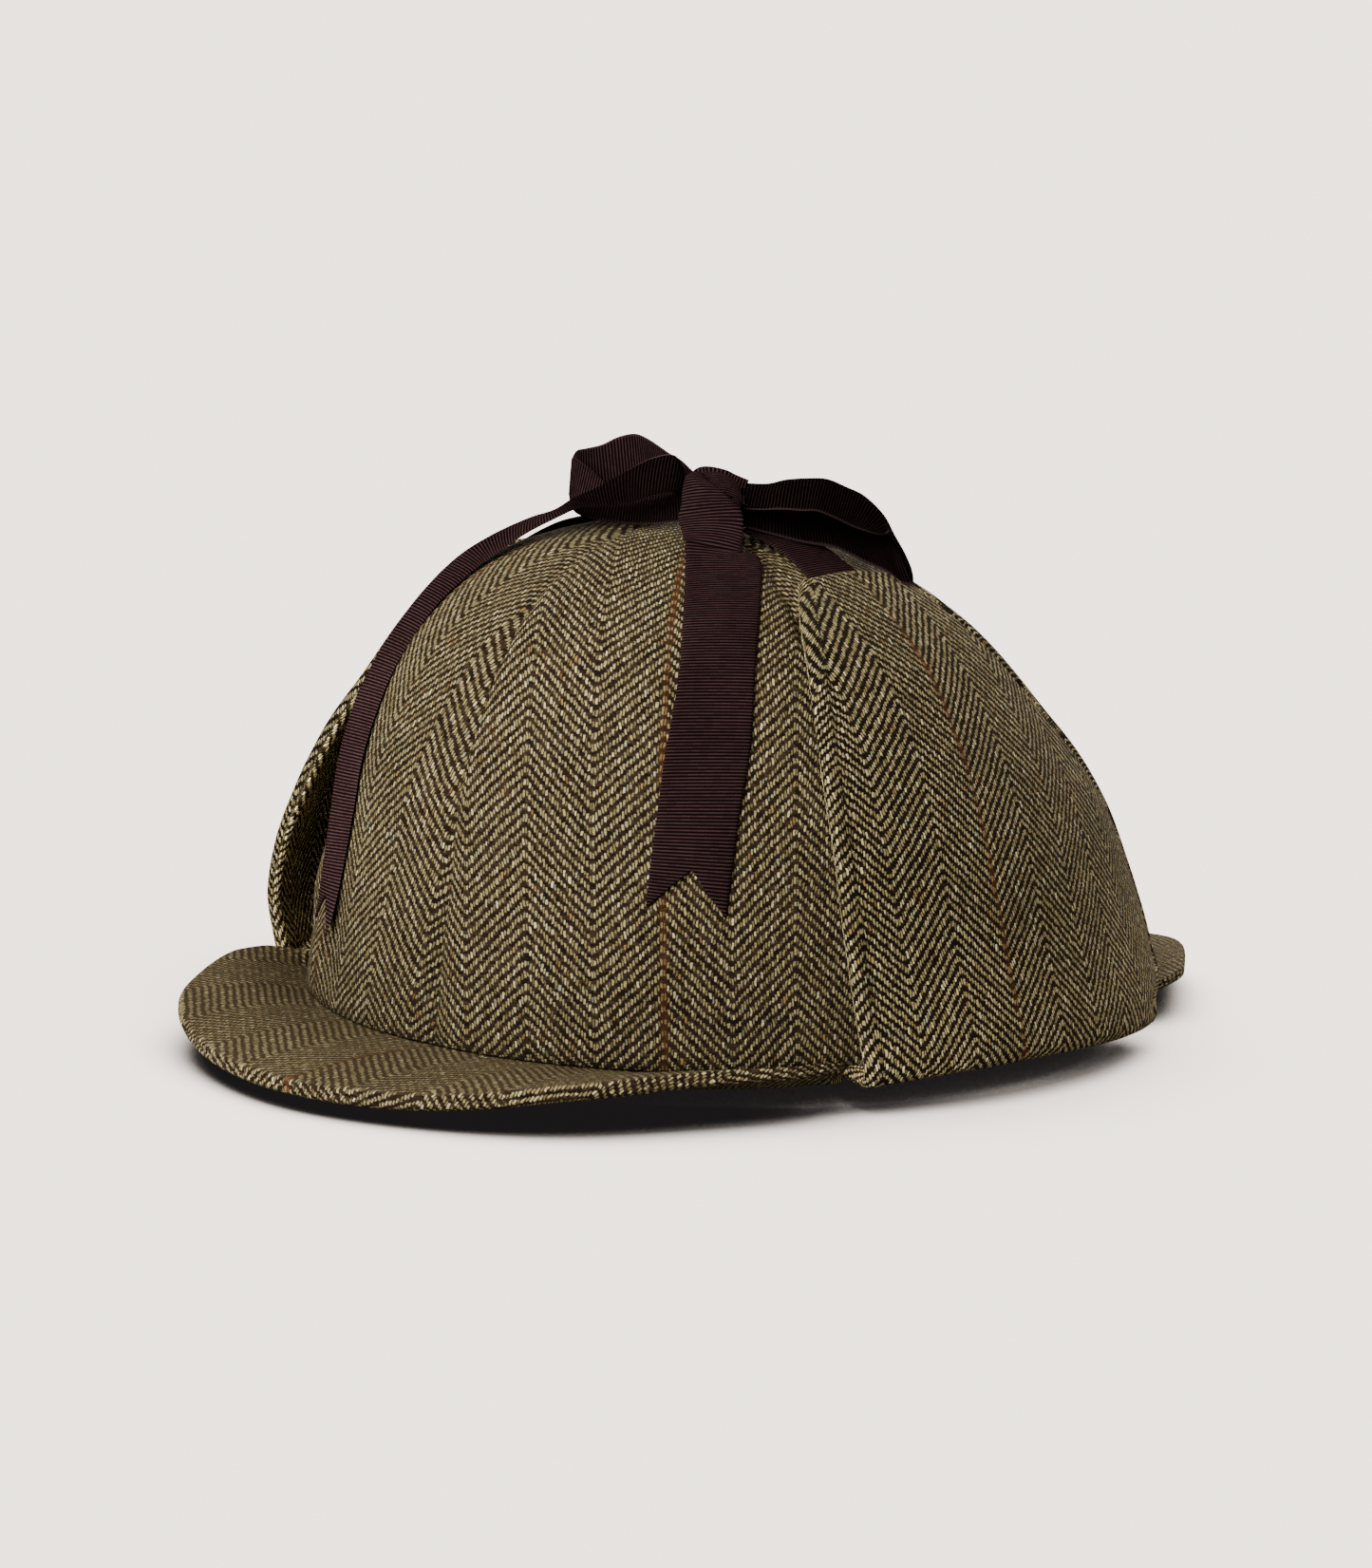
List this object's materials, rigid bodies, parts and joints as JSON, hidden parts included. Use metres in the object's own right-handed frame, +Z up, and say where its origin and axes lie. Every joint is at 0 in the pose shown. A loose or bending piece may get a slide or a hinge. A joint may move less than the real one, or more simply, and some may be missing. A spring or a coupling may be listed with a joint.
{
  "type": "deerstalker hat",
  "caption": "Tweed deerstalker hat with a rounded panelled crown, front and back peaks, and ear flaps tied up over the crown with a ribbon bow.",
  "frame": {"origin": "middle of the hat's bounding box on the surface it stands on, so the peaks' under sides are at z = 0", "axes": "+Z up out of the crown, the front peak towards -Y, the wearer's left ear flap towards +X"},
  "size_m": [0.1968, 0.3012, 0.1297],
  "materials": {
    "tweed": "brown and cream herringbone wool tweed with a thin rust stripe, matte",
    "peak_tweed": "the same tweed over a stiff peak, weave running front to back, matte",
    "grosgrain_ribbon": "dark maroon brown ribbed ribbon, dull"
  },
  "bodies": {
    "root": {"crown_gore_front_left": "tweed", "crown_gore_left": "tweed", "crown_gore_back_left": "tweed", "crown_gore_back_right": "tweed", "crown_gore_right": "tweed", "crown_gore_front_right": "tweed", "front_peak": "peak_tweed", "back_peak": "peak_tweed", "ear_flap_left": "tweed", "ear_flap_right": "tweed", "flap_tie_left": "grosgrain_ribbon", "flap_tie_right": "grosgrain_ribbon", "bow_loop_left": "grosgrain_ribbon", "bow_loop_right": "grosgrain_ribbon", "bow_tail_left": "grosgrain_ribbon", "bow_tail_right": "grosgrain_ribbon", "bow_knot": "grosgrain_ribbon"}
  },
  "joints": []
}
